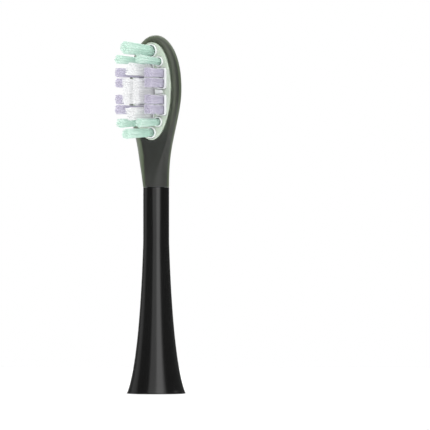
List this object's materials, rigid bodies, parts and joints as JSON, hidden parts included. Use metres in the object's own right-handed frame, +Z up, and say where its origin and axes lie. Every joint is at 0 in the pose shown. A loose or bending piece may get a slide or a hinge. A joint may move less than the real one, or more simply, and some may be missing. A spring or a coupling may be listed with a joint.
{
  "type": "sonic toothbrush brush head",
  "caption": "Click-on brush head for a sonic toothbrush: flared glossy neck sleeve, smoke soft-coated oval head, and bristle tufts in carriers that flex in a soft bed.",
  "frame": {"origin": "under the middle of the object's bounding box, on the plane of the sleeve's rim", "axes": "+Z up the neck to the tip of the head, -Y the way the bristles point, +X to the viewer's right when the bristles face the viewer"},
  "size_m": [0.0132, 0.0176, 0.0778],
  "materials": {
    "gloss_black": "glossy black moulded plastic",
    "core_black": "matt black moulded plastic",
    "smoke_rubber": "satin, smoke-coloured translucent soft overmould",
    "pale_rubber": "satin, pale grey-green soft moulding",
    "carrier_white": "smooth white moulded plastic",
    "mint_bristle": "mint nylon filaments with rounded ends",
    "lilac_bristle": "lilac nylon filaments with rounded ends",
    "white_bristle": "white nylon filaments with rounded ends",
    "socket_white": "natural acetal",
    "spring_steel": "bright spring steel strip"
  },
  "bodies": {
    "head": {"neck_sleeve": "gloss_black", "shaft_socket": "socket_white", "head_core": "core_black", "head_overmould": "smoke_rubber", "soft_bed": "pale_rubber"},
    "shaft_leaf": {"shaft_leaf": "spring_steel"},
    "tip_set": {"tip_carrier": "carrier_white", "tip_tuft": "mint_bristle"},
    "upper_left_set": {"upper_left_carrier": "carrier_white", "upper_left_tuft": "mint_bristle"},
    "upper_right_set": {"upper_right_carrier": "carrier_white", "upper_right_tuft": "mint_bristle"},
    "upper_wedge_set": {"upper_wedge_carrier": "carrier_white", "upper_wedge_tuft": "white_bristle"},
    "upper_left_wing_set": {"upper_left_wing_carrier": "carrier_white", "upper_left_wing_inner_tuft": "lilac_bristle", "upper_left_wing_outer_tuft": "lilac_bristle"},
    "upper_right_wing_set": {"upper_right_wing_carrier": "carrier_white", "upper_right_wing_inner_tuft": "lilac_bristle", "upper_right_wing_outer_tuft": "lilac_bristle"},
    "middle_set": {"middle_carrier": "carrier_white", "middle_left_tuft": "white_bristle", "middle_right_tuft": "white_bristle"},
    "lower_left_wing_set": {"lower_left_wing_carrier": "carrier_white", "lower_left_wing_inner_tuft": "lilac_bristle", "lower_left_wing_outer_tuft": "lilac_bristle"},
    "lower_right_wing_set": {"lower_right_wing_carrier": "carrier_white", "lower_right_wing_inner_tuft": "lilac_bristle", "lower_right_wing_outer_tuft": "lilac_bristle"},
    "lower_wedge_set": {"lower_wedge_carrier": "carrier_white", "lower_wedge_tuft": "white_bristle"},
    "lower_left_set": {"lower_left_carrier": "carrier_white", "lower_left_tuft": "mint_bristle"},
    "lower_right_set": {"lower_right_carrier": "carrier_white", "lower_right_tuft": "mint_bristle"},
    "heel_set": {"heel_carrier": "carrier_white", "heel_tuft": "mint_bristle"}
  },
  "joints": [
    {"name": "shaft_leaf_flex", "type": "hinge", "parent": "head", "child": "shaft_leaf", "pos_m": [0, 0.00018, 0.0061], "axis": [1, 0, 0], "range_deg": [0, 2.2], "stiffness_Nm_per_rad": 0.06},
    {"name": "tip_flex", "type": "hinge", "parent": "head", "child": "tip_set", "pos_m": [0, 0.00081, 0.07437], "axis": [1, 0, 0], "range_deg": [-4, 4], "stiffness_Nm_per_rad": 0.02},
    {"name": "upper_left_flex", "type": "hinge", "parent": "head", "child": "upper_left_set", "pos_m": [-0.00205, 0.00081, 0.07202], "axis": [0, 0, 1], "range_deg": [-3, 3], "stiffness_Nm_per_rad": 0.02},
    {"name": "upper_right_flex", "type": "hinge", "parent": "head", "child": "upper_right_set", "pos_m": [0.00205, 0.00081, 0.07202], "axis": [0, 0, 1], "range_deg": [-3, 3], "stiffness_Nm_per_rad": 0.02},
    {"name": "upper_wedge_flex", "type": "hinge", "parent": "head", "child": "upper_wedge_set", "pos_m": [0, 0.00081, 0.07001], "axis": [1, 0, 0], "range_deg": [-3, 3], "stiffness_Nm_per_rad": 0.02},
    {"name": "upper_left_wing_flex", "type": "hinge", "parent": "head", "child": "upper_left_wing_set", "pos_m": [-0.00276, 0.00081, 0.06839], "axis": [0, 0, 1], "range_deg": [-3, 3], "stiffness_Nm_per_rad": 0.02},
    {"name": "upper_right_wing_flex", "type": "hinge", "parent": "head", "child": "upper_right_wing_set", "pos_m": [0.00276, 0.00081, 0.06839], "axis": [0, 0, 1], "range_deg": [-3, 3], "stiffness_Nm_per_rad": 0.02},
    {"name": "middle_flex", "type": "hinge", "parent": "head", "child": "middle_set", "pos_m": [0, 0.00081, 0.0655], "axis": [0, 0, 1], "range_deg": [-2, 2], "stiffness_Nm_per_rad": 0.02},
    {"name": "lower_left_wing_flex", "type": "hinge", "parent": "head", "child": "lower_left_wing_set", "pos_m": [-0.00276, 0.00081, 0.06262], "axis": [0, 0, 1], "range_deg": [-3, 3], "stiffness_Nm_per_rad": 0.02},
    {"name": "lower_right_wing_flex", "type": "hinge", "parent": "head", "child": "lower_right_wing_set", "pos_m": [0.00276, 0.00081, 0.06262], "axis": [0, 0, 1], "range_deg": [-3, 3], "stiffness_Nm_per_rad": 0.02},
    {"name": "lower_wedge_flex", "type": "hinge", "parent": "head", "child": "lower_wedge_set", "pos_m": [0, 0.00081, 0.06099], "axis": [1, 0, 0], "range_deg": [-3, 3], "stiffness_Nm_per_rad": 0.02},
    {"name": "lower_left_flex", "type": "hinge", "parent": "head", "child": "lower_left_set", "pos_m": [-0.0018, 0.00081, 0.05898], "axis": [0, 0, 1], "range_deg": [-3, 3], "stiffness_Nm_per_rad": 0.02},
    {"name": "lower_right_flex", "type": "hinge", "parent": "head", "child": "lower_right_set", "pos_m": [0.0018, 0.00081, 0.05898], "axis": [0, 0, 1], "range_deg": [-3, 3], "stiffness_Nm_per_rad": 0.02},
    {"name": "heel_flex", "type": "hinge", "parent": "head", "child": "heel_set", "pos_m": [0, 0.00081, 0.05663], "axis": [1, 0, 0], "range_deg": [-4, 4], "stiffness_Nm_per_rad": 0.02}
  ]
}
